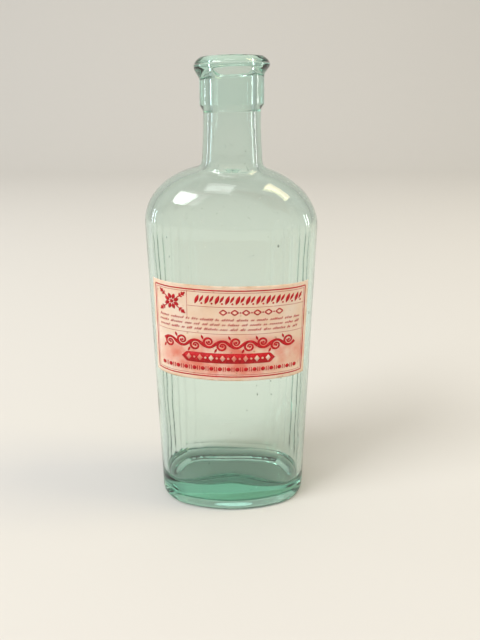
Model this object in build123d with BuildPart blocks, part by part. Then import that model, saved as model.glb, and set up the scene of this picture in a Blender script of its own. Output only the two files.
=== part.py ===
from build123d import *
from math import acos, atan2, cos, degrees, hypot, radians, sin
import os

# Pint druggist's oval bottle for poison, in thick aqua glass, with a gummed paper label.
# It is blown as one hollow piece in a two-part mould and its mouth is finished by hand.
# Millimetres, +Z up. The origin is the middle of the base, on the surface it stands on,
# under the axis of the neck. The bowed front, with the label, faces -Y.

os.makedirs("parts", exist_ok=True)

# Body, as a bowed oval that narrows a little towards the base
bottle_height = 223.0
body_width = 83.4
base_narrowing = 4.7
body_depth = 54.9
crown_radius = 72.3
panel_depth = 2.5
shoulder_radius = 22.4
heel_radius = 3.3

# Walls, floor and the shallow push-up under the base
wall = 2.7
floor_thickness = 8.8
floor_rounding = 8.0
push_up_inset = 6.5
push_up_depth = 2.2
push_up_lean = 50.0

# Neck and hand-finished mouth, heights measured down from the top of the lip
neck_rise = 50.2
neck_root_diameter = 27.9
neck_root_height = 6.4
neck_diameter = 25.9
neck_root_rounding = 6.0
neck_wall = 2.9
neck_inner_rounding = 5.0
collar_step = 2.9
collar_height = 11.6
collar_diameter = 28.8
collar_top_diameter = 28.4
lip_height = 9.9
lip_diameter = 33.4
lip_swell_drop = 5.0
lip_top_diameter = 32.4
lip_rounding = 4.2
tool_rounding = 0.7
mouth_bore_diameter = 19.0
mouth_bore_depth = 24.0
mouth_rounding = 2.4

# Ribs moulded down both back corners, as a grip that tells poison by touch
ribs_each_side = 6
rib_pitch = 6.0
rib_radius = 1.9
rib_height = 0.75
rib_fade = 9.0
rib_foot = 5.0
rib_panel_gap = 2.2
rib_tip_share = 0.9

# Paper label, following the bowed front
label_side_gap = 5.1
label_height = 47.7
label_drop = 24.9
label_shift = 0.9
label_lean = 0.95
paper_thickness = 0.16
gum_thickness = 0.04

# Run past a face that a cutting shape leaves through
overrun = 5.0
# How near an edge has to lie to a named radius to count as being on it
fit_margin = 0.01
# The shoulder's rounding stays inside the round ends of the oval that it runs along
shoulder_limit_share = 0.95

# Heights and the flattened back, worked out from the sizes above. The oval sits back by half
# the depth that is taken off it, so that the neck stands over the middle of the body.
shoulder_top = bottle_height - neck_rise
shoulder_line = shoulder_top - shoulder_radius
oval_back = panel_depth / 2
taper = base_narrowing / 2 / shoulder_top
panel_y = oval_back + body_depth / 2 - panel_depth
rib_low = heel_radius + rib_foot
rib_sink = rib_radius - rib_height


def end_radius(inset):
    """Radius of the oval's two ends, which follows from its width, depth and bow."""
    half_width = body_width / 2 - inset
    half_depth = body_depth / 2 - inset
    crown = crown_radius - inset
    across = 2 * crown * half_depth - half_width**2 - half_depth**2
    return across / (2 * (crown - half_width))


def end_angle(inset):
    """Half the turn of an end arc, in degrees: where it runs into the bowed front and back."""
    half_width = body_width / 2 - inset
    half_depth = body_depth / 2 - inset
    crown = crown_radius - inset
    return degrees(atan2(crown - half_depth, half_width - end_radius(inset)))


def oval(inset):
    """Oval of two bowed faces and two round ends, all tangent, drawn inset from the body."""
    half_width = body_width / 2 - inset
    half_depth = body_depth / 2 - inset
    crown = crown_radius - inset
    end = end_radius(inset)
    turn = end_angle(inset)
    with BuildLine() as outline:
        CenterArc((0, oval_back + crown - half_depth), crown, 180 + turn, 180 - 2 * turn)
        CenterArc((half_width - end, oval_back), end, -turn, 2 * turn)
        CenterArc((0, oval_back - crown + half_depth), crown, turn, 180 - 2 * turn)
        CenterArc((end - half_width, oval_back), end, 180 - turn, 2 * turn)
    make_face(outline.edges())


def shoulder_rounding(inset):
    """Radius of the shoulder, measured on the outer face and drawn in for the hollow."""
    return min(shoulder_radius - inset, shoulder_limit_share * end_radius(inset))


def taper_at(height):
    """How far the body is drawn in at a height, against its width at the shoulder."""
    return taper * (shoulder_top - height)


def tapered_body(inset, low, high, mode=Mode.ADD):
    """Straight stretch of the body between two heights, inset from its outer face."""
    with BuildSketch(Plane.XY.offset(low)) as low_oval:
        oval(inset + taper_at(low))
    with BuildSketch(Plane.XY.offset(high)) as high_oval:
        oval(inset + taper_at(high))
    loft([low_oval.sketch, high_oval.sketch], ruled=True, mode=mode)


def panel_plane(inset):
    """Plane of the flat back, leaning with the body's taper."""
    lean = hypot(1, taper)
    normal = (0, 1 / lean, -taper / lean)
    return Plane(origin=(0, panel_y - inset, shoulder_top), x_dir=(1, 0, 0), z_dir=normal)


def round_joint(form, radius):
    """Edges where the round neck of that radius runs into the top of the shoulder."""

    def on_neck(edge):
        points = (edge @ 0, edge @ 0.5, edge @ 1)
        round_neck = all(abs(hypot(point.X, point.Y) - radius) < fit_margin for point in points)
        return round_neck and shoulder_line < edge.center().Z < shoulder_top + fit_margin

    return form.edges().filter_by(on_neck)


def rib_planes():
    """Planes at the foot of each rib, spaced along the oval from the flat back's two edges."""
    half_width, half_depth = body_width / 2, body_depth / 2
    end, turn = end_radius(0), end_angle(0)
    panel_edge = degrees(acos(1 - panel_depth / crown_radius))
    bowed_run = crown_radius * radians(90 - turn - panel_edge)
    planes = []
    for number in range(ribs_each_side):
        run = rib_panel_gap + number * rib_pitch
        if run < bowed_run:
            angle = radians(90 - panel_edge) - run / crown_radius
            centre_x, centre_y, radius = 0, oval_back + half_depth - crown_radius, crown_radius
        else:
            angle = radians(turn) - (run - bowed_run) / end
            centre_x, centre_y, radius = half_width - end, oval_back, end
        for side in (1, -1):
            out = Vector(side * cos(angle), sin(angle), 0) * (radius - rib_sink)
            inward = Vector(-side * cos(angle), -sin(angle), 0)
            middle = Vector(side * centre_x, centre_y, 0) + out
            foot = middle + inward * taper_at(rib_low) + Vector(0, 0, rib_low)
            head = middle + inward * taper_at(shoulder_line) + Vector(0, 0, shoulder_line)
            planes.append(Plane(origin=foot, z_dir=head - foot))
    return planes


# Outside of the body: oval, rounded shoulder and heel, and flat back with its arched top
with BuildPart() as body_form:
    tapered_body(0, 0, shoulder_top)
    fillet(body_form.edges().group_by(Axis.Z)[-1], shoulder_rounding(0))
    fillet(body_form.edges().group_by(Axis.Z)[0], heel_radius)
    split(bisect_by=panel_plane(0), keep=Keep.BOTTOM)

# Outside of the neck: a slight cone from the shoulder, a stepped collar and a flared lip
neck_root_top = shoulder_top + neck_root_height
collar_top = bottle_height - lip_height
collar_foot = collar_top - collar_height
neck_top = collar_foot - collar_step
with BuildPart() as neck_form:
    with BuildSketch(Plane.XZ):
        with BuildLine():
            side = FilletPolyline(
                (neck_root_diameter / 2, shoulder_line),
                (neck_root_diameter / 2, neck_root_top),
                (neck_diameter / 2, neck_top),
                (collar_diameter / 2, collar_foot),
                (collar_top_diameter / 2, collar_top),
                (lip_diameter / 2, bottle_height - lip_swell_drop),
                (lip_top_diameter / 2, bottle_height),
                (0, bottle_height),
                radius=[tool_rounding] * 5 + [lip_rounding],
            )
            Polyline(side @ 1, (0, shoulder_line), side @ 0)
        make_face()
    revolve(axis=Axis.Z)

# One rib, drawn upright and tapering into the wall at both ends
rib_length = shoulder_line - rib_low
rib_tip = rib_sink * rib_tip_share
with BuildPart() as rib_form:
    with BuildSketch(Plane.XZ):
        with BuildLine():
            Polyline(
                (0, 0),
                (rib_tip, 0),
                (rib_radius, rib_fade),
                (rib_radius, rib_length - rib_fade),
                (rib_tip, rib_length),
                (0, rib_length),
                close=True,
            )
        make_face()
    revolve(axis=Axis.Z)

# Hollow inside the body and neck: the same forms drawn in by the wall, on a thick floor
with BuildPart() as hollow:
    tapered_body(wall, floor_thickness, shoulder_top - wall)
    fillet(hollow.edges().group_by(Axis.Z)[-1], shoulder_rounding(wall))
    fillet(hollow.edges().group_by(Axis.Z)[0], floor_rounding)
    split(bisect_by=panel_plane(wall), keep=Keep.BOTTOM)
    with BuildSketch(Plane.XZ):
        with BuildLine():
            Polyline(
                (0, shoulder_line),
                (neck_root_diameter / 2 - neck_wall, shoulder_line),
                (neck_root_diameter / 2 - neck_wall, neck_root_top),
                (mouth_bore_diameter / 2, bottle_height - mouth_bore_depth),
                (mouth_bore_diameter / 2, bottle_height + overrun),
                (0, bottle_height + overrun),
                close=True,
            )
        make_face()
    revolve(axis=Axis.Z)
    fillet(round_joint(hollow, neck_root_diameter / 2 - neck_wall), neck_inner_rounding)

# The bottle itself, blown in one piece
with BuildPart() as glass_bottle:
    add(body_form.part)
    add(neck_form.part)
    fillet(round_joint(glass_bottle, neck_root_diameter / 2), neck_root_rounding)
    with Locations(*rib_planes()):
        add(rib_form.part)
    add(hollow.part, mode=Mode.SUBTRACT)
    with BuildSketch():
        oval(push_up_inset + taper_at(0))
    extrude(amount=push_up_depth, taper=push_up_lean, mode=Mode.SUBTRACT)
    rim = glass_bottle.edges().filter_by(GeomType.CIRCLE).group_by(Axis.Z)[-1]
    fillet(rim.sort_by(SortBy.RADIUS)[0], mouth_rounding)
glass_bottle.part.label = "glass_bottle"

# The label, gummed round the bowed front and pasted on slightly out of level
label_width = body_width - 2 * label_side_gap
label_top = shoulder_line - label_drop
with BuildPart() as paper_label:
    tapered_body(-gum_thickness - paper_thickness, 0, shoulder_line)
    tapered_body(-gum_thickness, 0, shoulder_line, mode=Mode.SUBTRACT)
    with Locations((-label_shift, oval_back, label_top - label_height / 2)):
        Box(
            label_width,
            body_depth,
            label_height,
            rotation=(0, label_lean, 0),
            align=(Align.CENTER, Align.MAX, Align.CENTER),
            mode=Mode.INTERSECT,
        )
paper_label.part.label = "paper_label"

for piece in (glass_bottle, paper_label):
    export_step(piece.part, f"parts/{piece.part.label}.step")
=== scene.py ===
import math

import bpy
import numpy as np
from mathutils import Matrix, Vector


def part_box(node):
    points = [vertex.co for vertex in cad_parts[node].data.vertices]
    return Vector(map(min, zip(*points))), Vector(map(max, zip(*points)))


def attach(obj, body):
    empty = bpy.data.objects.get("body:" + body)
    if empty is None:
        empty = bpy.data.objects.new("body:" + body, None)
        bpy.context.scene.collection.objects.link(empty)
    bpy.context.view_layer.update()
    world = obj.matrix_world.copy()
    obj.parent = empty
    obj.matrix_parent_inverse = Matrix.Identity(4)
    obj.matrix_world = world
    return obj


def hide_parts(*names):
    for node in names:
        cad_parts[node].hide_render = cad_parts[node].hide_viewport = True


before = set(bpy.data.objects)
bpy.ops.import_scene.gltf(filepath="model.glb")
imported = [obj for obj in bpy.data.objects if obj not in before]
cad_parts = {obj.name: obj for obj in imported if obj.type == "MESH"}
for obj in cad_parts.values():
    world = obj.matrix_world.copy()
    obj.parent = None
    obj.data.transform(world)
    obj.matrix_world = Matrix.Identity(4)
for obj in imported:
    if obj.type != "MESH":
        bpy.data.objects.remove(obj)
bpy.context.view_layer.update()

# Glass bottle. A druggist's oval of thick aqua soda-lime glass, blown in a two-part mould, with
# a flat back, moulded ribs down both back corners and a shallow push-up under the base. The neck's
# collar and rolled lip are shaped afterwards with a hand tool. Lengths are in millimetres.
MM = 0.001
bottle_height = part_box("glass_bottle")[1][2] / MM
body_width = 83.4
body_depth = 54.9
base_narrowing = 4.7
crown_radius = 72.3
panel_depth = 2.5
wall = 2.7
shoulder_line = 149.4
shoulder_rise = 28.9
shoulder_power = 2.15
half_width = body_width / 2
half_depth = body_depth / 2
oval_back = panel_depth / 2
panel_y = oval_back + half_depth - panel_depth
taper = base_narrowing / 2 / (shoulder_line + shoulder_rise)
end_radius = (2 * crown_radius * half_depth - half_width**2 - half_depth**2) / (
    2 * (crown_radius - half_width)
)
end_centre = half_width - end_radius
end_turn = math.atan2(crown_radius - half_depth, end_centre)


def oval(angle, inset):
    """Point of the body's outline whose outward normal turns by angle from +X, drawn in by inset.

    The outline is two bowed faces and two round ends, four arcs tangent to each other. Drawn in,
    each keeps its centre, so a point is the centre plus (radius - inset) along the normal.
    """
    along, across = np.cos(angle), np.sin(angle)
    at_end = np.abs(across) < math.sin(end_turn)
    centre_x = np.where(at_end, np.sign(along) * end_centre, 0)
    centre_y = np.where(at_end, 0, np.sign(across) * (half_depth - crown_radius))
    radius = np.where(at_end, end_radius, crown_radius) - inset
    return centre_x + radius * along, oval_back + centre_y + radius * across


def depth_inside(x, y):
    """How far a point in plan lies inside the outline: the radius of the arc that it faces, less
    its distance from that arc's centre."""
    past_centre, sideways = np.abs(x) - end_centre, np.abs(y - oval_back)
    at_end = np.arctan2(sideways, past_centre) < end_turn
    from_end = end_radius - np.hypot(past_centre, sideways)
    from_crown = crown_radius - np.hypot(x, sideways + crown_radius - half_depth)
    return np.where(at_end, from_end, from_crown)


def taper_at(height):
    """How far the body is drawn in at a height: the taper times the height that lies above it, up
    to the top of the shoulder."""
    return taper * (shoulder_line + shoulder_rise - height)


def panel_at(height, inset):
    """Where the flat back lies in y at a height: it leans with the body's taper."""
    return panel_y - inset - taper_at(height)


def soft_least(a, b, softness):
    """The lesser of two lengths with the corner between them rounded: their mean, less half the
    square root of their difference squared plus the softness squared."""
    return (a + b - np.sqrt((a - b) ** 2 + softness**2)) / 2


def smooth(value):
    """Runs from 0 to 1 as value does, level at both ends: 3 v squared less 2 v cubed."""
    value = np.clip(value, 0, 1)
    return value * value * (3 - 2 * value)


# The mesh's columns run up the bottle. They stand closer together across the ribs and at the
# mould's two seams than on the bowed front and the flat back.
column_count, fine_count = 344, 7201
rib_pitch = 6.0
ribs_each_side = 6
rib_panel_gap = 2.2
seam_crowding, seam_crowding_reach = 1.5, 1.2

fine_angle = np.linspace(-math.pi / 2, 3 * math.pi / 2, fine_count)
fine_step = np.hypot(*(np.diff(side) for side in oval(fine_angle, 0)))
fine_run = np.concatenate([[0], np.cumsum(fine_step)])
girth = fine_run[-1]
first_rib = crown_radius * math.acos(1 - panel_depth / crown_radius) + rib_panel_gap
last_rib = first_rib + (ribs_each_side - 1) * rib_pitch
from_back = np.abs(fine_run - girth / 2)
in_ribs = smooth((from_back - first_rib + rib_pitch) / rib_pitch)
in_ribs *= smooth((last_rib + rib_pitch - from_back) / rib_pitch)
at_seam = np.exp(-(((from_back - girth / 4) / seam_crowding_reach) ** 2))
crowding = 1 + in_ribs + seam_crowding * at_seam
share = np.concatenate([[0], np.cumsum(fine_step * (crowding[1:] + crowding[:-1]) / 2)])
steps = np.arange(column_count) / column_count * share[-1]
angle = np.interp(steps, share, fine_angle)
column_run = np.interp(steps, share, fine_run)
back_run = np.abs(column_run - girth / 2)

# Ribs and the mould's seams, as they stand above the wall
rib_height = 0.55
rib_half_width = 2.9
rib_foot = 8.3
rib_fade = 9.0
seam_height = 0.12
seam_half_width = 0.5

rib_places = first_rib + rib_pitch * np.arange(ribs_each_side)
rib_reach = np.abs(back_run[:, None] - rib_places).min(1) / rib_half_width
rib_profile = rib_height * (0.5 + 0.5 * np.cos(math.pi * np.clip(rib_reach, 0, 1)))
seam_reach = np.abs(back_run - girth / 4) / seam_half_width
seam_profile = seam_height * (0.5 + 0.5 * np.cos(math.pi * np.clip(seam_reach, 0, 1)))


def relief(height):
    """Ribs and seams at a height: each is a cosine ridge across, and the ribs rise and fade
    smoothly over their last few millimetres."""
    rise = smooth((height - rib_foot) / rib_fade) * smooth((shoulder_line - height) / rib_fade)
    return rib_profile * rise + seam_profile * smooth((height - rib_foot) / rib_foot)


def waves(height, size, waves_round, wave_heights, phases):
    """Unevenness that hot glass keeps: a sum of sines, each with a whole number of waves round the
    girth and its own wave height up the bottle."""
    total = 0
    for around, rise, phase in zip(waves_round, wave_heights, phases):
        total = total + np.sin(2 * math.pi * (around * column_run / girth + height / rise) + phase)
    return size * total / len(phases)


def outer_waves(height):
    """Shallow waves outside, where the glass met the mould: four sines of 29 to 140 mm."""
    return waves(
        height,
        size=0.05,
        waves_round=(2, 5, 7, 11),
        wave_heights=(140, -61, 43, -29),
        phases=(0.4, 2.1, 4.4, 5.2),
    )


def inner_waves(height):
    """Broader and deeper waves inside, where only air shaped the wall: sines of 38 to 180 mm."""
    return waves(
        height,
        size=0.07,
        waves_round=(1, 3, 4, 6),
        wave_heights=(180, 95, -57, 38),
        phases=(1.9, 0.3, 3.6, 5.5),
    )


# Body rows. Each function gives x, y and z for some rows of the mesh, one value a column.
panel_softness = 0.7


def side_rows(height, inset, raised):
    """Rows of the straight side: the outline drawn in by inset and taper, moved out by raised,
    and cut off by the flat back."""
    x, y = oval(angle, inset + taper_at(height) - raised)
    return x, soft_least(y, panel_at(height, inset) + raised, panel_softness), height + 0 * x


# The shoulder is a dome over the oval, and each column crosses it straight to the neck's axis
def dome(out, edge, inset):
    """Height of the shoulder at a distance out from the neck's axis, where the outline lies at
    edge: the rise times the root of 1 less (out / edge) to the dome's power."""
    share_out = np.clip(out / edge, 0, 1)
    return shoulder_line + (shoulder_rise - inset) * np.sqrt(1 - share_out**shoulder_power)


start_x, start_y = oval(angle, taper_at(shoulder_line))
start_out = np.hypot(start_x, start_y)
toward_x, toward_y = start_x / start_out, start_y / start_out


def ball_in_joint(inset, neck_radius, ball_radius):
    """Where a ball rests in the corner between the shoulder and the neck, in every column.

    Its centre stands one ball radius out from the neck. Its height is the greatest sum of the
    shoulder's height and the ball's own height over it, found by trying leans ever more closely.
    Gives the lean of the line from the centre to the touching point, and the centre's height.
    """
    edge = np.hypot(*oval(angle, inset + taper_at(shoulder_line)))
    lean, spread = np.zeros(column_count), math.pi / 2
    rounds, tries, narrowing = 4, 61, 20
    for _ in range(rounds):
        leans = lean + np.linspace(-spread, spread, tries)[:, None]
        out = neck_radius + ball_radius * (1 + np.sin(leans))
        centre = dome(out, edge, inset) + ball_radius * np.cos(leans)
        lean, spread = leans[centre.argmax(0), np.arange(column_count)], spread / narrowing
    return lean, centre.max(0)


def shoulder_rows(count, inset, inner_radius):
    """Rows over the dome from the top of the side to inner_radius, cut off by the flat back."""
    x, y = oval(angle, inset + taper_at(shoulder_line))
    edge = np.hypot(x, y)
    q = 1 - np.cos(np.linspace(0, math.pi / 2, count + 1)[1:, None])
    out = edge + (inner_radius - edge) * q
    height = dome(out, edge, inset)
    x, y = x / edge * out, y / edge * out
    return x, soft_least(y, panel_at(height, inset), panel_softness), height


def joint_rows(count, lean, centre, neck_radius, ball_radius):
    """Rows up the hollow of the joint: the ball's own circle, from the shoulder to the neck."""
    q = np.linspace(0, 1, count + 1)[1:, None]
    turn = lean + (-math.pi / 2 - lean) * q
    out = neck_radius + ball_radius * (1 + np.sin(turn))
    return out * toward_x, out * toward_y, centre - ball_radius * np.cos(turn)


def round_rows(radius, height):
    """Rows of the neck and the mouth: circles about the neck's axis."""
    radius = np.asarray(radius)[:, None]
    height = np.asarray(height)[:, None] + 0 * toward_x
    return radius * toward_x, radius * toward_y, height


def rounded(corners, cuts, count):
    """Radii and heights along a profile of straight runs whose corners are rounded: at each, a
    parabola between the points that lie its cut before and after it."""
    radii, heights = [corners[0, 0]], [corners[0, 1]]
    q = np.linspace(0, 1, count)
    for before, corner, after, cut in zip(corners, corners[1:], corners[2:], cuts):
        start = corner + (before - corner) * cut / np.hypot(*(before - corner))
        end = corner + (after - corner) * cut / np.hypot(*(after - corner))
        for values, k in ((radii, 0), (heights, 1)):
            values.extend(start[k] * (1 - q) ** 2 + 2 * corner[k] * q * (1 - q) + end[k] * q**2)
    return radii + [corners[-1, 0]], heights + [corners[-1, 1]]


def toward_middle(rim_x, rim_y, depth_of, rounding, height_of, counts):
    """Rows from a rim to the middle of the base or floor, along straight lines to the centre.

    The first rows turn a quarter circle of the rounding's radius, the rest cross to the middle,
    a little closer together as they start, and the height follows from each point's place.
    """
    crossing_power, crossing_share = 1.2, 0.985
    rim = np.hypot(rim_x, rim_y)
    slope = depth_of(rim_x * (1 - 1 / rim), rim_y * (1 - 1 / rim)) - depth_of(rim_x, rim_y)
    corner = rounding * (1 - np.cos(np.linspace(0, math.pi / 2, counts[0] + 1)[1:, None]))
    q = np.linspace(0, 1, counts[1] + 1)[1:, None] ** crossing_power * crossing_share
    turned = 1 - corner / slope / rim
    share_out = np.concatenate([turned, turned[-1] * (1 - q)])
    x, y = rim_x * share_out, rim_y * share_out
    return x, y, height_of(x, y)


def bottle_rows():
    """All rows of the bottle's one closed surface, from the middle of its base up the outside,
    over the lip and down the inside to the middle of the floor."""
    parts = []

    # Base: a bearing ring round a shallow push-up with a level middle
    heel_radius, base_softness = 3.3, 2.0
    push_up_inset, push_up_run, push_up_height = 3.5, 8.0, 2.2
    heel_count, base_count = 9, 22

    def base_depth(x, y):
        """The lesser of the depths inside the outline and inside the flat back, softened, plus
        an eighth of the softness."""
        inside = depth_inside(x, y) - taper_at(0)
        return soft_least(inside, panel_at(0, 0) - y, base_softness) + base_softness / 8

    def base_height(x, y):
        """A quarter circle at the heel, and inside it the push-up's smooth rise."""
        inside = base_depth(x, y)
        turned = np.clip(heel_radius - inside, 0, heel_radius)
        heel = heel_radius - np.sqrt(heel_radius**2 - turned**2)
        return heel + push_up_height * smooth((inside - push_up_inset) / push_up_run)

    heel_x, heel_y, _ = side_rows(np.array([[heel_radius]]), 0, 0)
    base = toward_middle(
        heel_x[0], heel_y[0], base_depth, heel_radius, base_height, (heel_count, base_count)
    )
    parts.append([side[::-1] for side in base])

    # Straight side, shoulder, hollow of the joint and neck
    side_count, shoulder_count, joint_count, neck_count = 46, 26, 8, 12
    heights = np.linspace(heel_radius, shoulder_line, side_count)[:, None]
    parts.append(side_rows(heights, 0, relief(heights) + outer_waves(heights)))
    neck_root_radius, joint_radius = 14.0, 3.4
    lean, centre = ball_in_joint(0, neck_root_radius, joint_radius)
    touch = neck_root_radius + joint_radius * (1 + np.sin(lean))
    parts.append(shoulder_rows(shoulder_count, 0, touch))
    parts.append(joint_rows(joint_count, lean, centre, neck_root_radius, joint_radius))
    neck_radius, neck_top, neck_flare, neck_end = 12.93, 201.1, 1.8, 1.5
    q = np.linspace(0, 1, neck_count)[1:-1, None]
    height = centre + (neck_top - neck_end - centre) * q
    fall = (neck_top - height) / (neck_top - centre)
    out = neck_radius + (neck_root_radius - neck_radius) * fall**neck_flare
    parts.append((out * toward_x, out * toward_y, height))

    # Collar, lip, mouth and bore: each corner's radius and height, and how far before and after it
    # the glass starts to round
    bore_radius, corner_count = 9.5, 6
    corners = np.array(
        [
            (neck_radius, neck_top - neck_end, 0),
            (neck_radius, neck_top, 0.6),
            (14.4, 203.5, 0.5),  # collar's foot
            (14.3, 215.1, 0.6),  # ring under the lip
            (16.95, 218.9, 1.3),  # lip at its widest
            (16.25, 221.2, 1.2),
            (13.6, bottle_height + 0.3, 1.5),  # rim
            (11.2, bottle_height + 0.1, 1.1),
            (9.7, 221.0, 1.1),  # mouth
            (bore_radius, 217.0, 1.5),
            (bore_radius, 199.0, 0),
        ]
    )
    finish = rounded(corners[:, :2], corners[1:-1, 2], corner_count)
    parts.append(round_rows(*finish))

    # Inside: the bore widens down the neck, and the hollow follows the body at the wall's
    # thickness
    bore_count, inner_shoulder_count, inner_side_count = 9, 22, 36
    inner_root_radius, inner_joint = 10.8, 6.2
    bore_foot = finish[1][-1]
    lean, centre = ball_in_joint(wall, inner_root_radius, inner_joint)
    q = np.linspace(0, 1, bore_count)[1:, None]
    height = bore_foot + (centre - bore_foot) * q
    out = bore_radius + (inner_root_radius - bore_radius) * q
    parts.append((out * toward_x, out * toward_y, height))
    touch = inner_root_radius + inner_joint * (1 + np.sin(lean))
    joint = joint_rows(joint_count, lean, centre, inner_root_radius, inner_joint)
    parts.append([side[-2::-1] for side in joint])
    shoulder = shoulder_rows(inner_shoulder_count, wall, touch)
    parts.append([side[::-1] for side in shoulder])

    # Floor: it slants a little down to the right, and its rounding swells at the front
    floor_thickness, floor_slant, floor_softness = 11.2, -0.05, 2.0
    back_rounding, front_rounding, front_reach = 2.8, 16.2, 39.0
    edge_count, floor_count, ease_share = 11, 14, 1 / 8

    def floor_depth(x, y):
        """The lesser of the depths inside the hollow's outline and its flat back, softened,
        plus an eighth of the softness."""
        inside = depth_inside(x, y) - taper_at(floor_thickness) - wall
        across = panel_at(floor_thickness, wall) - y
        return soft_least(inside, across, floor_softness) + floor_softness / 8

    from_front = np.minimum(column_run, girth - column_run)
    swell = 0.5 + 0.5 * np.cos(math.pi * np.clip(from_front / front_reach, 0, 1))
    floor_rounding = back_rounding + (front_rounding - back_rounding) * swell

    def floor_height(x, y):
        """The slanting floor, and a quarter circle up to the wall over its own rounding."""
        inside = floor_depth(x, y)
        turned = np.clip(floor_rounding - inside, 0, floor_rounding)
        edge = floor_rounding - np.sqrt(floor_rounding**2 - turned**2)
        return floor_thickness + floor_slant * x + edge

    foot = floor_thickness + floor_rounding
    foot = foot + floor_slant * side_rows(foot[None], wall, 0)[0]
    q = np.linspace(0, 1, inner_side_count)[1:, None]
    heights = shoulder_line + (foot - shoulder_line) * q
    ease = smooth(q / ease_share) * smooth((1 - q) / ease_share)
    parts.append(side_rows(heights, wall, inner_waves(heights) * ease))
    foot_x, foot_y, counts = parts[-1][0][-1], parts[-1][1][-1], (edge_count, floor_count)
    parts.append(
        toward_middle(foot_x, foot_y, floor_depth, floor_rounding, floor_height, counts)
    )
    return [np.concatenate([part[k] for part in parts]) for k in range(3)]


# What the mould and the hand tool left out of true
shoulder_lean, lean_low, lean_rise, lean_high, lean_fade = 0.03, 138, 24, 184, 10
neck_shift, shift_low, shift_rise = 0.45, 171, 8
tilt_heights = (190, 201, 204, 215, 219, 223)
tilts = (0, 0.03, 0.01, 0.07, 0.03, 0.02)


def hand_work(x, y, z):
    """The shoulder leans a little down to the right, the neck stands slightly to the right, and
    the collar, the ring under the lip and the rim tilt down to the left: x grows by the shift,
    and z by the tilt less the lean, times x."""
    lean = shoulder_lean * smooth((z - lean_low) / lean_rise) * smooth((lean_high - z) / lean_fade)
    shift = neck_shift * smooth((z - shift_low) / shift_rise)
    return x + shift, y, z + (np.interp(z, tilt_heights, tilts) - lean) * x


def closed_grid(rows):
    """Points and faces of a closed surface: quads between neighbouring rows, joined round the
    last column, with the first and last rows each closed by triangles to their middle."""
    grid = np.stack(rows, -1)
    points = np.concatenate([grid.reshape(-1, 3), grid[0].mean(0)[None], grid[-1].mean(0)[None]])
    ring = np.arange(rows[0].size).reshape(rows[0].shape)
    beside = np.roll(ring, -1, 1)
    quads = np.stack([ring[:-1], beside[:-1], beside[1:], ring[1:]], -1).reshape(-1, 4)
    first, last = len(points) - 2, len(points) - 1
    low = np.stack([beside[0], ring[0], 0 * ring[0] + first], -1)
    high = np.stack([ring[-1], beside[-1], 0 * ring[0] + last], -1)
    return points, quads.tolist() + low.tolist() + high.tolist()


def new_piece(name, points, faces, material):
    """Adds a mesh object from points in millimetres, smooth-shaded, riding on the bottle."""
    mesh = bpy.data.meshes.new(name)
    mesh.from_pydata((np.asarray(points) * MM).tolist(), [], faces)
    mesh.polygons.foreach_set("use_smooth", np.ones(len(faces), bool))
    mesh.materials.append(material)
    piece = bpy.data.objects.new(name, mesh)
    bpy.context.scene.collection.objects.link(piece)
    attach(piece, "root")
    return piece


def linear(hex_colour):
    """Linear red, green and blue of an sRGB hex colour, with alpha 1."""
    parts = [int(hex_colour[k : k + 2], 16) / 255 for k in (1, 3, 5)]
    return [p / 12.92 if p <= 0.04045 else ((p + 0.055) / 1.055) ** 2.4 for p in parts] + [1]


def add_node(tree, kind, links=None, **settings):
    """Adds a node. links gives its inputs, by name or number, a value or another node's output,
    and settings are the node's own."""
    node = tree.nodes.new(kind)
    for name, value in settings.items():
        setattr(node, name, value)
    for name, value in (links or {}).items():
        if isinstance(value, bpy.types.NodeSocket):
            tree.links.new(value, node.inputs[name])
        else:
            node.inputs[name].default_value = value
    return node


def new_material(name):
    """An empty node material and its output node."""
    material = bpy.data.materials.new(name)
    material.use_nodes = True
    material.node_tree.nodes.clear()
    return material, material.node_tree, material.node_tree.nodes.new("ShaderNodeOutputMaterial")


# Aqua soda-lime glass, blown and fire polished. Iron in the sand makes thick stretches of it
# green, as in the base and at the edges, while the thin walls stay nearly clear. Smears about
# 20 mm across dull its gloss, and the ripples of a chilled mould, 9 mm apart, bend what it shows.
aqua_glass, tree, output = new_material("aqua_soda_lime_glass")
on_glass = add_node(tree, "ShaderNodeTexCoord").outputs["Object"]
smears = add_node(
    tree,
    "ShaderNodeTexNoise",
    {"Vector": on_glass, "Scale": 1 / (20 * MM), "Detail": 6.0, "Roughness": 0.65},
)
dulling = add_node(
    tree,
    "ShaderNodeMapRange",
    {
        "Value": smears.outputs[0],
        "From Min": 0.5,
        "From Max": 0.75,
        "To Min": 0.012,
        "To Max": 0.13,
    },
)
ripples = add_node(
    tree, "ShaderNodeTexNoise", {"Vector": on_glass, "Scale": 1 / (9 * MM), "Detail": 1.0}
)
rippled = add_node(
    tree, "ShaderNodeBump", {"Height": ripples.outputs[0], "Strength": 1.0, "Distance": 0.03 * MM}
)
clear = add_node(
    tree,
    "ShaderNodeBsdfPrincipled",
    {
        "Base Color": linear("#F9FCFA"),
        "Roughness": dulling.outputs["Result"],
        "IOR": 1.51,
        "Transmission Weight": 1.0,
        "Normal": rippled.outputs["Normal"],
    },
)
tint = add_node(
    tree, "ShaderNodeVolumeAbsorption", {"Color": linear("#3FE6C7"), "Density": 28.0}
)
tree.links.new(clear.outputs["BSDF"], output.inputs["Surface"])
tree.links.new(tint.outputs["Volume"], output.inputs["Volume"])

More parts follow.
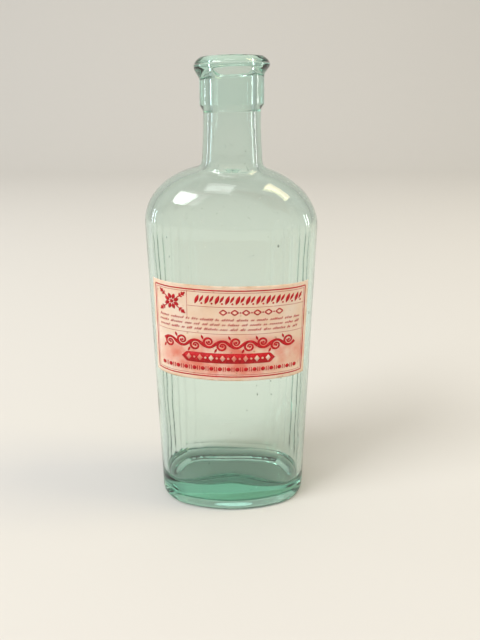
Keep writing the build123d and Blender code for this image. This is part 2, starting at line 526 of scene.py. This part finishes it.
# Seeds: bubbles of air halfway through the wall of the body, of the neck and of the thick base
body_seeds, neck_seeds, base_seeds = 52, 7, 9
body_seed_heights, neck_seed_heights, base_seed_height = (18, 148), (183, 198), 6.8
neck_seed_out, base_seed_x, base_seed_y = 11.6, 24, 13
seed_rows, seed_columns, seed_cap = 7, 10, 1.2
seed_sizes, seed_change, seed_stretches = (0.14, 0.42), (0.6, 1.1), (1.1, 2.2)
draw = np.random.default_rng(23)
seed_z = draw.uniform(*body_seed_heights, body_seeds)
seed_turn = np.interp(draw.uniform(0, girth, body_seeds), fine_run, fine_angle)
seed_x, seed_y = oval(seed_turn, wall / 2 + taper_at(seed_z))
seed_y = np.minimum(seed_y, panel_at(seed_z, wall / 2))
neck_turn = draw.uniform(0, 2 * math.pi, neck_seeds)
in_neck_x, in_neck_y = neck_seed_out * np.cos(neck_turn), neck_seed_out * np.sin(neck_turn)
seed_x = np.concatenate([seed_x, in_neck_x, draw.uniform(-base_seed_x, base_seed_x, base_seeds)])
seed_y = np.concatenate([seed_y, in_neck_y, draw.uniform(-base_seed_y, base_seed_y, base_seeds)])
in_neck_z = draw.uniform(*neck_seed_heights, neck_seeds)
seed_z = np.concatenate([seed_z, in_neck_z, np.full(base_seeds, base_seed_height)])
seed_count = len(seed_z)
seed_radius = draw.uniform(*seed_sizes, seed_count) * draw.uniform(*seed_change, seed_count)
seed_stretch = draw.uniform(*seed_stretches, seed_count)


def seed_cavities():
    """Each seed's rows: an ellipsoid, as many times taller than wide as the glass was drawn out
    upwards when it was blown. Its faces point into the air that it holds."""
    fall = np.linspace(seed_cap, -seed_cap, seed_rows)[:, None]
    turn = np.linspace(0, 2 * math.pi, seed_columns, endpoint=False)
    for x, y, z, radius, stretch in zip(seed_x, seed_y, seed_z, seed_radius, seed_stretch):
        yield hand_work(
            x + radius * np.cos(fall) * np.cos(turn),
            y + radius * np.cos(fall) * np.sin(turn),
            z + radius * stretch * np.sin(fall) + 0 * turn,
        )


points, faces = closed_grid(hand_work(*bottle_rows()))
for cavity in seed_cavities():
    seed_points, seed_faces = closed_grid(cavity)
    faces += [[corner + len(points) for corner in face] for face in seed_faces]
    points = np.concatenate([points, seed_points])
bottle = new_piece("blown_glass_bottle", points, faces, aqua_glass)
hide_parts("glass_bottle")

# Wear. Specks of dried lime and fine scuffs that a century of handling left on the outside, most
# of them on the shoulder: thin lenses of chalky white whose lower half lies in the glass.
speck_count, speck_corners, speck_rise = 560, 9, 0.03
lowest_speck, highest_speck, least_outward = 12, 198, 8
most_worn, worn_spread, worn_anywhere = 158, 18, 0.15
smallest_speck, largest_speck, speck_stretch = 0.08, 0.24, 1.2
scuff_share, least_stretch, most_stretch, scuff_width = 0.2, 1.5, 3.5, 0.4

# Wear lies on faces that look outward: the product of a face's place, out from the bottle's
# axis, and its normal is more than least_outward
face_count = len(bottle.data.polygons)
middles, normals = np.empty(face_count * 3), np.empty(face_count * 3)
bottle.data.polygons.foreach_get("center", middles)
bottle.data.polygons.foreach_get("normal", normals)
middles, normals = middles.reshape(-1, 3) / MM, normals.reshape(-1, 3)
height = middles[:, 2]
outside = (middles[:, :2] * normals[:, :2]).sum(1) > least_outward
outside &= (height > lowest_speck) & (height < highest_speck)
likely = outside * (worn_anywhere + np.exp(-(((height - most_worn) / worn_spread) ** 2)))
draw = np.random.default_rng(31)
worn = draw.choice(face_count, speck_count, replace=False, p=likely / likely.sum())

# Each lens lies flat on its face at a chance slant: a ring of corners about a top and a bottom.
# Scuffs are the lenses that are drawn out long and narrow.
middle, normal = middles[worn][:, None], normals[worn][:, None]
level = np.cross(normal, (0, 0, 1))
level /= np.linalg.norm(level, axis=-1, keepdims=True)
upright = np.cross(normal, level)
each = (speck_count, 1, 1)
slant = draw.uniform(0, math.pi, each)
lengthwise = level * np.cos(slant) + upright * np.sin(slant)
sidewise = upright * np.cos(slant) - level * np.sin(slant)
reach = draw.uniform(smallest_speck, largest_speck, each)
scuffed = draw.random(each) < scuff_share
scuff_stretch = draw.uniform(least_stretch, most_stretch, each)
length = reach * np.where(scuffed, scuff_stretch, speck_stretch)
width = reach * np.where(scuffed, scuff_width, 1)
turns = np.linspace(0, 2 * math.pi, speck_corners, endpoint=False)[:, None]
ring = middle + length * np.cos(turns) * lengthwise + width * np.sin(turns) * sidewise
lift = speck_rise * normal
specks = np.concatenate([ring + lift / 3, middle + lift, middle - lift], 1)
corner = np.arange(speck_corners)
after = np.roll(corner, -1)
top, bottom = np.full_like(corner, speck_corners), np.full_like(corner, speck_corners + 1)
fan = np.concatenate([np.stack([corner, after, top], -1), np.stack([after, corner, bottom], -1)])
fans = fan + (speck_corners + 2) * np.arange(speck_count)[:, None, None]

# Dried lime scale: chalky and matt, whiter where it lies thick
dried_lime, tree, output = new_material("dried_lime_scale")
on_scale = add_node(tree, "ShaderNodeTexCoord").outputs["Object"]
thick = add_node(tree, "ShaderNodeTexNoise", {"Vector": on_scale, "Scale": 1 / (4 * MM)})
chalk = add_node(
    tree,
    "ShaderNodeMix",
    {0: thick.outputs[0], 6: linear("#DDE3DC"), 7: linear("#FBFBF7")},
    data_type="RGBA",
)
scale = add_node(
    tree, "ShaderNodeBsdfPrincipled", {"Base Color": chalk.outputs[2], "Roughness": 0.9}
)
tree.links.new(scale.outputs["BSDF"], output.inputs["Surface"])
speck_faces = fans.reshape(-1, 3).tolist()
wear = new_piece("dried_lime_specks", specks.reshape(-1, 3), speck_faces, dried_lime)

# Paper label. A sheet of uncoated cream paper, gummed round the bowed front a little out of
# level. Places on it are measured along the paper and up from its middle, in millimetres.
label_reach = 40.3
label_height = 48.2
label_drop = 22.9
label_shift = 1.4
label_lean = math.radians(0.95)
paper_thickness = 0.16
gum_thickness = 0.04
paper_top = gum_thickness + paper_thickness
label_middle = shoulder_line - label_drop - label_height / 2

# Run and turn of the outline from the middle of the front, to the right and mirrored to the left
to_back = slice(len(fine_run) // 2 + 1)
right_run, right_turn = fine_run[to_back], fine_angle[to_back] + math.pi / 2
label_run = np.concatenate([-right_run[:0:-1], right_run])
label_turn = np.concatenate([-right_turn[:0:-1], right_turn])


def on_label(along, up, lift):
    """Point over the paper's place along and up from its middle, lift above the glass.

    The place is turned by the label's lean, wrapped round the outline by its run, and drawn in
    by the taper. The drawn-in outline is shorter by the taper times the turn, so the run grows.
    """
    run = along * math.cos(label_lean) + up * math.sin(label_lean) - label_shift
    height = label_middle + up * math.cos(label_lean) - along * math.sin(label_lean)
    turn = np.interp(run, label_run, label_turn)
    turn = np.interp(run + taper_at(height) * turn, label_run, label_turn)
    x, y = oval(turn - math.pi / 2, taper_at(height) - lift)
    return hand_work(x, y, height)


def sheet_solid(along, up, low, high):
    """Closed thin solid over a grid of places on the label, between two lifts above the glass:
    the grid once at each lift, and a strip of quads round its rim."""
    rows, columns = along.shape
    outside = np.stack(on_label(along, up, high), -1).reshape(-1, 3)
    inside = np.stack(on_label(along, up, low), -1).reshape(-1, 3)
    grid = np.arange(rows * columns).reshape(rows, columns)
    quads = np.stack([grid[:-1, :-1], grid[:-1, 1:], grid[1:, 1:], grid[1:, :-1]], -1)
    front = quads.reshape(-1, 4)
    rim = np.concatenate([grid[0, :-1], grid[:-1, -1], grid[-1, :0:-1], grid[:0:-1, 0]])
    after = np.roll(rim, -1)
    side = np.stack([rim + grid.size, after + grid.size, after, rim], -1)
    faces = np.concatenate([front, front[:, ::-1] + grid.size, side])
    return np.concatenate([outside, inside]), faces


def stained(tree, place, colour, stains):
    """Colour with stains laid over it one after another. Each gives the size of its patches in
    millimetres, their detail, the noise where they begin and where they are full, and a strength
    and colour: the mix is the patches times the strength."""
    for size, detail, begin, full, strength, stain in stains:
        noise_links = {"Vector": place, "Scale": 1 / (size * MM), "Detail": detail}
        noise = add_node(tree, "ShaderNodeTexNoise", noise_links).outputs[0]
        range_links = {"Value": noise, "From Min": begin, "From Max": full}
        patches = add_node(tree, "ShaderNodeMapRange", range_links).outputs["Result"]
        product_links = {0: patches, 1: strength}
        amount = add_node(tree, "ShaderNodeMath", product_links, operation="MULTIPLY").outputs[0]
        mix_links = {0: amount, 6: colour, 7: linear(stain)}
        colour = add_node(tree, "ShaderNodeMix", mix_links, data_type="RGBA").outputs[2]
    return colour


# Uncoated rag paper, gone cream and mottled with age, with small foxed spots and browned edges.
# It is thin enough to glow a little against the light. A pale red tint block was printed behind
# the lower half, and has worn to blotches.
cream_paper, tree, output = new_material("gummed_cream_paper")
on_paper = add_node(tree, "ShaderNodeTexCoord").outputs["Object"]
tint_reach, tint_rise, tint_drop = 41, 12.5, 11.5
tint_place = add_node(
    tree,
    "ShaderNodeMapping",
    {
        "Vector": on_paper,
        "Location": (0, 0, (tint_drop - label_middle) / tint_rise),
        "Scale": (1 / (tint_reach * MM), 0, 1 / (tint_rise * MM)),
    },
)
tint_block = add_node(
    tree, "ShaderNodeTexGradient", {"Vector": tint_place.outputs[0]}, gradient_type="SPHERICAL"
)
tint_amount = add_node(
    tree,
    "ShaderNodeMapRange",
    {"Value": tint_block.outputs["Fac"], "From Max": 0.35, "To Max": 0.95},
).outputs["Result"]
edge = add_node(tree, "ShaderNodeAttribute", attribute_name="paper_edge").outputs["Fac"]
aged_cream = stained(
    tree,
    on_paper,
    linear("#FADCCA"),
    (
        (10, 4.0, 0.35, 0.70, 1, "#F0CDB2"),  # mottling
        (9, 4.0, 0.30, 0.58, tint_amount, "#E6846F"),  # what is left of the tint
        (2.2, 2.0, 0.68, 0.76, 0.5, "#A9743F"),  # foxing
        (5, 4.0, 0.42, 0.72, edge, "#CCA277"),  # browned edges
    ),
)
fibres = add_node(
    tree, "ShaderNodeTexNoise", {"Vector": on_paper, "Scale": 1 / (0.7 * MM), "Detail": 3.0}
)
fibred = add_node(
    tree, "ShaderNodeBump", {"Height": fibres.outputs[0], "Strength": 0.6, "Distance": 0.05 * MM}
)
paper = add_node(
    tree,
    "ShaderNodeBsdfPrincipled",
    {
        "Base Color": aged_cream,
        "Roughness": 0.8,
        "Subsurface Weight": 1.0,
        "Subsurface Radius": (1.0, 0.9, 0.7),
        "Subsurface Scale": 0.3 * MM,
        "Normal": fibred.outputs["Normal"],
    },
)
tree.links.new(paper.outputs["BSDF"], output.inputs["Surface"])

# The sheet itself, with how near each point is to its edge kept for the browning
sheet_rows, sheet_columns, browned_width = 61, 161, 1.2
up, along = np.meshgrid(
    np.linspace(-label_height / 2, label_height / 2, sheet_rows),
    np.linspace(-label_reach, label_reach, sheet_columns),
    indexing="ij",
)
points, faces = sheet_solid(along, up, gum_thickness, paper_top)
label = new_piece("paper_label_sheet", points, faces.tolist(), cream_paper)
inside_edge = np.minimum(label_reach - np.abs(along), label_height / 2 - np.abs(up))
browning = np.tile((1 - smooth(inside_edge / browned_width)).ravel(), 2)
label.data.attributes.new("paper_edge", "FLOAT", "POINT").data.foreach_set("value", browning)
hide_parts("paper_label")

# Red print. Oily letterpress ink on the paper, from brass rules and stock type ornaments: a
# border, a rosette, leaves, lozenges, ropework, a running scroll, a pointed bar and a bead row.
ink_thickness, ink_bite, least_width = 0.02, 0.01, 0.04


def stroke(along, up, width):
    """Both edges of a stroke along a path: half its width to each side, square to the path."""
    along, up = np.broadcast_arrays(np.asarray(along, float), np.asarray(up, float))
    step_along, step_up = np.gradient(along), np.gradient(up)
    to_edge = np.maximum(width, least_width) / 2 / np.hypot(step_along, step_up)
    side_along, side_up = -step_up * to_edge, step_along * to_edge
    edges_along = np.stack([along - side_along, along + side_along])
    return edges_along, np.stack([up - side_up, up + side_up])


def rule(start, end, width, count=2):
    """Straight printer's rule between two places, with more points where the glass bows."""
    q = np.linspace(0, 1, count)
    return stroke(start[0] + (end[0] - start[0]) * q, start[1] + (end[1] - start[1]) * q, width)


def ornament(along, up, length, width, turn, swell, ends, count=9):
    """One closed ornament about a place, turned from the label's line: across it is the width
    times (1 - q to the power swell) to the power ends, with q from -1 to 1 along its length."""
    q = np.sin(np.linspace(-math.pi / 2, math.pi / 2, count))
    reach = q * length / 2
    return stroke(
        along + reach * math.cos(turn),
        up + reach * math.sin(turn),
        width * (1 - np.abs(q) ** swell) ** ends,
    )


def dot(along, up, size):
    """Round dot: the root of 1 less q squared is a circle's width."""
    return ornament(along, up, size, size, turn=0, swell=2, ends=0.5, count=11)


def leaf(along, up, length, width, turn):
    """Leaf with two points: 1 less q squared bows both its sides."""
    return ornament(along, up, length, width, turn, swell=2, ends=1)


def lozenge(along, up, length, width):
    """Lozenge: 1 less q is a straight fall from its middle to each end."""
    return ornament(along, up, length, width, turn=0, swell=1, ends=1, count=3)


def print_piece(
    name, strokes, material, low=paper_top - ink_bite, high=paper_top + ink_thickness
):
    """Joins the printed strokes into one piece, from low to high above the glass."""
    all_points, all_faces, used = [], [], 0
    for edges in strokes:
        points, faces = sheet_solid(*edges, low, high)
        all_points.append(points)
        all_faces.extend((faces + used).tolist())
        used += len(points)
    piece = new_piece(name, np.concatenate(all_points), all_faces, material)


# Red letterpress ink: thick and dark where the press bit, thin and pinker where it starved
red_ink, tree, output = new_material("letterpress_red_ink")
on_ink = add_node(tree, "ShaderNodeTexCoord").outputs["Object"]
uneven_red = stained(
    tree,
    on_ink,
    linear("#CC1A22"),
    (
        (1.6, 4.0, 0.35, 0.65, 1, "#B00E16"),  # thick
        (0.6, 4.0, 0.55, 0.75, 0.55, "#E36A68"),  # starved
    ),
)
bite = add_node(tree, "ShaderNodeTexNoise", {"Vector": on_ink, "Scale": 1 / (0.5 * MM)})
bitten = add_node(
    tree, "ShaderNodeBump", {"Height": bite.outputs[0], "Strength": 0.5, "Distance": 0.02 * MM}
)
ink = add_node(
    tree,
    "ShaderNodeBsdfPrincipled",
    {
        "Base Color": uneven_red,
        "Roughness": 0.55,
        "Specular IOR Level": 0.25,
        "Normal": bitten.outputs["Normal"],
    },
)
tree.links.new(ink.outputs["BSDF"], output.inputs["Surface"])

# Border: a bold rule and a hairline inside it, and the hairlines that part the label
border = []
bold_inset, bold_width, inner_inset, inner_width, parting = 2.2, 0.62, 3.25, 0.2, 0.18
for inset, width in ((bold_inset, bold_width), (inner_inset, inner_width)):
    reach, rise = label_reach - inset, label_height / 2 - inset
    for end in (-1, 1):
        level, edge = end * rise, end * reach
        border.append(rule((-reach, level), (reach, level), width, count=61))
        border.append(rule((edge, width / 2 - rise), (edge, rise - width / 2), width, count=21))
inner_reach, inner_rise = label_reach - inner_inset, label_height / 2 - inner_inset
cell_edge, cell_foot, heading_rule, middle_rule = -20.2, 8.7, 13.9, 0.4
border.append(rule((cell_edge, inner_rise), (cell_edge, cell_foot), parting, count=9))
border.append(rule((cell_edge, heading_rule), (inner_reach, heading_rule), parting, count=41))
border.append(rule((-inner_reach, middle_rule), (inner_reach, middle_rule), parting, count=61))
print_piece("printed_border", border, red_ink)

# Emblem: a rosette of eight petals over two crossed sprigs, in the corner cell
emblem_along, emblem_up = -28.0, 14.9
petal_count, petal_out, stem_foot, stem_tip, tip_leaf_out = 8, 2.55, 3.2, 7.0, 7.6
sprig_slant, forks, side_leaf_out = math.radians(37), ((5.0, 0.8), (6.2, 0.65)), 0.85


def out_from(place, distance, turn):
    """Place at a distance from another, in the direction of turn."""
    return place[0] + distance * math.cos(turn), place[1] + distance * math.sin(turn)


centre = emblem_along, emblem_up
emblem = [dot(*centre, size=1.9)]
for petal in range(petal_count):
    turn = math.pi / petal_count + petal * 2 * math.pi / petal_count
    emblem.append(leaf(*out_from(centre, petal_out, turn), length=3.0, width=1.9, turn=turn))
for sprig in (sprig_slant, -sprig_slant):
    for turn in (sprig, sprig + math.pi):
        stem = out_from(centre, stem_foot, turn), out_from(centre, stem_tip, turn)
        emblem.append(rule(*stem, width=0.55, count=9))
        tip = out_from(centre, tip_leaf_out, turn)
        emblem.append(leaf(*tip, length=2.4, width=1.2, turn=turn))
        for fork, opening in forks:
            for hand in (-1, 1):
                lean = turn + hand * opening
                place = out_from(out_from(centre, fork, turn), side_leaf_out, lean)
                emblem.append(leaf(*place, length=1.8, width=0.8, turn=lean))
print_piece("printed_rosette", emblem, red_ink)

# Heading: a row of bold leaf pairs, and a row of open lozenges under it
heading = []
pair_count, pair_start, pair_end, pair_up = 11, -14.5, 33.4, 17.35
steep, slanted = math.radians(68), math.radians(60)
large_back, small_on, small_up, dot_on, dot_down = 0.95, 1.25, 0.4, 1.35, 1.8
for number in range(pair_count):
    place = pair_start + (pair_end - pair_start) * number / (pair_count - 1)
    heading.append(leaf(place - large_back, pair_up, length=4.9, width=1.75, turn=steep))
    small = place + small_on, pair_up + small_up
    heading.append(leaf(*small, length=4.0, width=1.25, turn=slanted))
    heading.append(dot(place + dot_on, pair_up - dot_down, size=0.95))
lozenge_count, lozenge_start, lozenge_end, lozenge_up = 6, -3.0, 23.6, 11.3
lozenge_reach, lozenge_rise, lozenge_line, between_dot = 1.75, 1.3, 0.62, 0.8
lozenge_pitch = (lozenge_end - lozenge_start) / (lozenge_count - 1)
for number in range(lozenge_count):
    place = lozenge_start + lozenge_pitch * number
    left, right = (place - lozenge_reach, lozenge_up), (place + lozenge_reach, lozenge_up)
    for end in (-1, 1):
        tip = place, lozenge_up + end * lozenge_rise
        heading.append(rule(left, tip, lozenge_line))
        heading.append(rule(tip, right, lozenge_line))
    if number:
        heading.append(dot(place - lozenge_pitch / 2, lozenge_up, between_dot))
print_piece("printed_leaf_and_lozenge_rows", heading, red_ink)

# Ropework: three rows of short slanting dashes across the label, in strands of uneven length.
# One dash in three stands taller.
ropework = []
draw = np.random.default_rng(5)
rope_pitch, rope_gap, rope_slant, rope_end, rope_limit = 0.92, 1.05, math.radians(60), 34.2, 35.2
dash_length, dash_change, dash_width, taller = 1.35, 0.15, 0.55, 0.55
fewest_dashes, most_dashes, dash_spacing = 2, 7, (0.85, 1.15)
for rope_up, rope_start in ((7.4, -34.6), (5.0, -35.0), (2.6, -34.6)):
    place = rope_start
    while place < rope_end:
        for _ in range(draw.integers(fewest_dashes, most_dashes + 1)):
            tall = draw.choice((0.0, 0.0, taller))
            dash = dash_length + tall + draw.uniform(-dash_change, dash_change)
            ropework.append(leaf(place, rope_up + tall / 3, dash, dash_width, rope_slant))
            place += rope_pitch * draw.uniform(*dash_spacing)
        place += rope_gap
ropework = [dash for dash in ropework if dash[0].max() < rope_limit]
print_piece("printed_ropework", ropework, red_ink)

# Running scroll: a waving stem with a volute curled into each hollow, and small leaves. The stem
# is a sine, and a volute's radius closes as a power of how far it has curled.
scroll = []
scroll_middle, scroll_wave, scroll_start, scroll_turns = -4.9, 13.0, -32.6, 5
stem_swing, stem_width, stem_swell = 1.9, 1.15, 0.4
volute_rise, volute_radius, volute_closing, volute_power = 1.05, 3.05, 2.2, 0.8
curl_start, curl_turn, curl_width, curl_thinning = math.radians(35), 2.9 * math.pi, 1.3, 0.6
leaf_back, leaf_rise, leaf_turn, eye_shift = 3.1, 2.3, math.radians(115), 0.1
stem_points, volute_points = 181, 41
q = np.linspace(0, 1, stem_points)
stem_along = scroll_start + scroll_wave * scroll_turns * q
stem_up = scroll_middle + stem_swing * np.sin(2 * math.pi * scroll_turns * q)
scroll.append(
    stroke(stem_along, stem_up, stem_width + stem_swell * np.cos(4 * math.pi * scroll_turns * q))
)
curled = np.linspace(0, 1, volute_points)
radius = volute_radius - volute_closing * curled**volute_power
for number in range(2 * scroll_turns):
    hand = 1 if number % 2 else -1
    volute_along = scroll_start + scroll_wave * (number / 2 + 1 / 4)
    volute_up = scroll_middle + volute_rise * hand
    turn = -hand * (curl_start + curl_turn * curled)
    volute = volute_along + radius * np.cos(turn), volute_up + radius * np.sin(turn)
    scroll.append(stroke(*volute, curl_width - curl_thinning * curled))
    scroll.append(dot(volute_along + eye_shift, volute_up, size=1.25))
    beside = volute_along - leaf_back, volute_up + hand * leaf_rise
    scroll.append(leaf(*beside, length=2.6, width=1.1, turn=hand * leaf_turn))
print_piece("printed_running_scroll", scroll, red_ink)

# Bar: solid red with pointed ends. Cream lozenges and dots are left bare in it, so they are the
# paper, standing just clear of the ink.
bar_along, bar_up, bar_reach, bar_height = -0.4, -12.2, 22.9, 5.3
point_run, point_power, bar_points = 3.2, 0.7, 81
q = np.linspace(-1, 1, bar_points)
from_point = np.clip((1 - np.abs(q)) * bar_reach / point_run, 0, 1)
bar_width = bar_height * smooth(from_point) ** point_power
print_piece("printed_bar", [stroke(bar_along + bar_reach * q, bar_up + 0 * q, bar_width)], red_ink)
bare = []
bare_count, bare_pitch, bare_clear = 15, 2.75, 0.01
for number in range(bare_count):
    place = bar_along + (number - (bare_count - 1) / 2) * bare_pitch
    if number % 2:
        bare.append(dot(place, bar_up, size=1.1))
    else:
        bare.append(lozenge(place, bar_up, length=2.5, width=3.3))
bare_low, bare_high = gum_thickness + bare_clear, paper_top + ink_thickness + bare_clear
print_piece("bare_lozenges_in_bar", bare, cream_paper, bare_low, bare_high)

# Bead and reel row along the foot
beads = []
bead_count, bead_start, bead_end, bead_up, bead_size = 17, -33.6, 33.2, -17.9, 2.1
reel_side, reel_rise, reel_width = 0.5, 1.15, 0.42
bead_pitch = (bead_end - bead_start) / (bead_count - 1)
for number in range(bead_count):
    place = bead_start + bead_pitch * number
    beads.append(dot(place, bead_up, bead_size))
    if number < bead_count - 1:
        for side in (-reel_side, reel_side):
            reel = place + bead_pitch / 2 + side
            foot, head = (reel, bead_up - reel_rise), (reel, bead_up + reel_rise)
            beads.append(rule(foot, head, reel_width))
print_piece("printed_bead_row", beads, red_ink)

# Pale floor that curves up into a backdrop, with soft studio light from broad lamps and two
# narrow strips. The camera stands where the photograph's did. Lengths here are in metres.
studio_grey, tree, output = new_material("pale_studio_paper")
floor_finish = add_node(tree, "ShaderNodeBsdfDiffuse", {"Color": linear("#DBD9D5")})
tree.links.new(floor_finish.outputs["BSDF"], output.inputs["Surface"])
sweep_start, sweep_radius, sweep_top, sweep_side, sweep_steps = 1.4, 0.9, 4.0, 4.0, 25
sweep_turn = np.linspace(0, math.pi / 2, sweep_steps)
sweep_y = np.concatenate([[-sweep_side], sweep_start + sweep_radius * np.sin(sweep_turn)])
sweep_z = np.concatenate([[0], sweep_radius * (1 - np.cos(sweep_turn))])
sweep_y, sweep_z = np.append(sweep_y, sweep_y[-1]), np.append(sweep_z, sweep_top)
across = len(sweep_y)
sweep_x = np.repeat((-sweep_side, sweep_side), across)
sweep = np.stack([sweep_x, np.tile(sweep_y, 2), np.tile(sweep_z, 2)], -1)
step = np.arange(across - 1)
sweep_faces = np.stack([step, step + across, step + across + 1, step + 1], -1)
floor_mesh = bpy.data.meshes.new("studio_sweep")
floor_mesh.from_pydata(sweep.tolist(), [], sweep_faces.tolist())
floor_mesh.polygons.foreach_set("use_smooth", np.ones(len(step), bool))
floor_mesh.materials.append(studio_grey)
studio_floor = bpy.data.objects.new("studio_sweep", floor_mesh)
bpy.context.scene.collection.objects.link(studio_floor)

world = bpy.data.worlds.new("soft_studio")
bpy.context.scene.world = world
world.use_nodes = True
sky = world.node_tree
sky.nodes.clear()
background = add_node(
    sky, "ShaderNodeBackground", {"Color": linear("#E6E5E2"), "Strength": 0.74}
)
sky_output = sky.nodes.new("ShaderNodeOutputWorld")
sky.links.new(background.outputs["Background"], sky_output.inputs["Surface"])


def add_lamp(name, place, aim, width, height, power, colour="#FFFFFF"):
    """A rectangular softbox of a width and height at a place, facing aim, with power in watts.
    Its tilt is the angle of the line to aim from straight down, and its turn is that line's."""
    light = bpy.data.lights.new(name, "AREA")
    light.shape = "RECTANGLE"
    light.size, light.size_y = width, height
    light.energy, light.color = power, linear(colour)[:3]
    lamp = bpy.data.objects.new(name, light)
    lamp.location = place
    x, y, z = np.array(aim) - np.array(place)
    lamp.rotation_euler = (math.atan2(math.hypot(x, y), -z), 0, math.atan2(y, x) - math.pi / 2)
    bpy.context.scene.collection.objects.link(lamp)


body_aim, strip_aim = (0, 0, 0.17), (0, 0, 0.2)
add_lamp("left_softbox", (-1.42, -0.82, 1.78), body_aim, width=0.95, height=0.78, power=25)
add_lamp("left_diffuser", (-1.46, -1.14, 2.1), body_aim, width=1.5, height=1.1, power=8)
add_lamp(
    "right_softbox", (1.38, -0.10, 2.00), body_aim, width=0.6, height=1.0, power=15, colour="#FFEBBE"
)
add_lamp("overhead_softbox", (-0.25, -0.68, 2.26), body_aim, width=0.8, height=0.7, power=5)
add_lamp("right_strip", (1.17, 0.27, 0.24), strip_aim, width=0.07, height=0.34, power=1.0)
add_lamp(
    "left_strip", (-1.13, 0.41, 0.24), strip_aim, width=0.05, height=0.34, power=0.6, colour="#E6F1FF"
)

camera_side, camera_height, camera_distance = -0.00134, 0.2075, 0.2763
camera_pitch, camera_turn = math.radians(21.21), math.radians(-1.12)
focal_pixels, frame_pixels, sensor = 580.0, 640, 36.0
view = bpy.data.cameras.new("studio_camera")
view.sensor_width = sensor
view.lens = sensor * focal_pixels / frame_pixels
camera = bpy.data.objects.new("studio_camera", view)
camera.location = (camera_side, -camera_distance, camera_height)
camera.rotation_euler = (math.pi / 2 - camera_pitch, 0, camera_turn)
bpy.context.scene.collection.objects.link(camera)
bpy.context.scene.camera = camera
bpy.context.scene.view_settings.view_transform = "Standard"
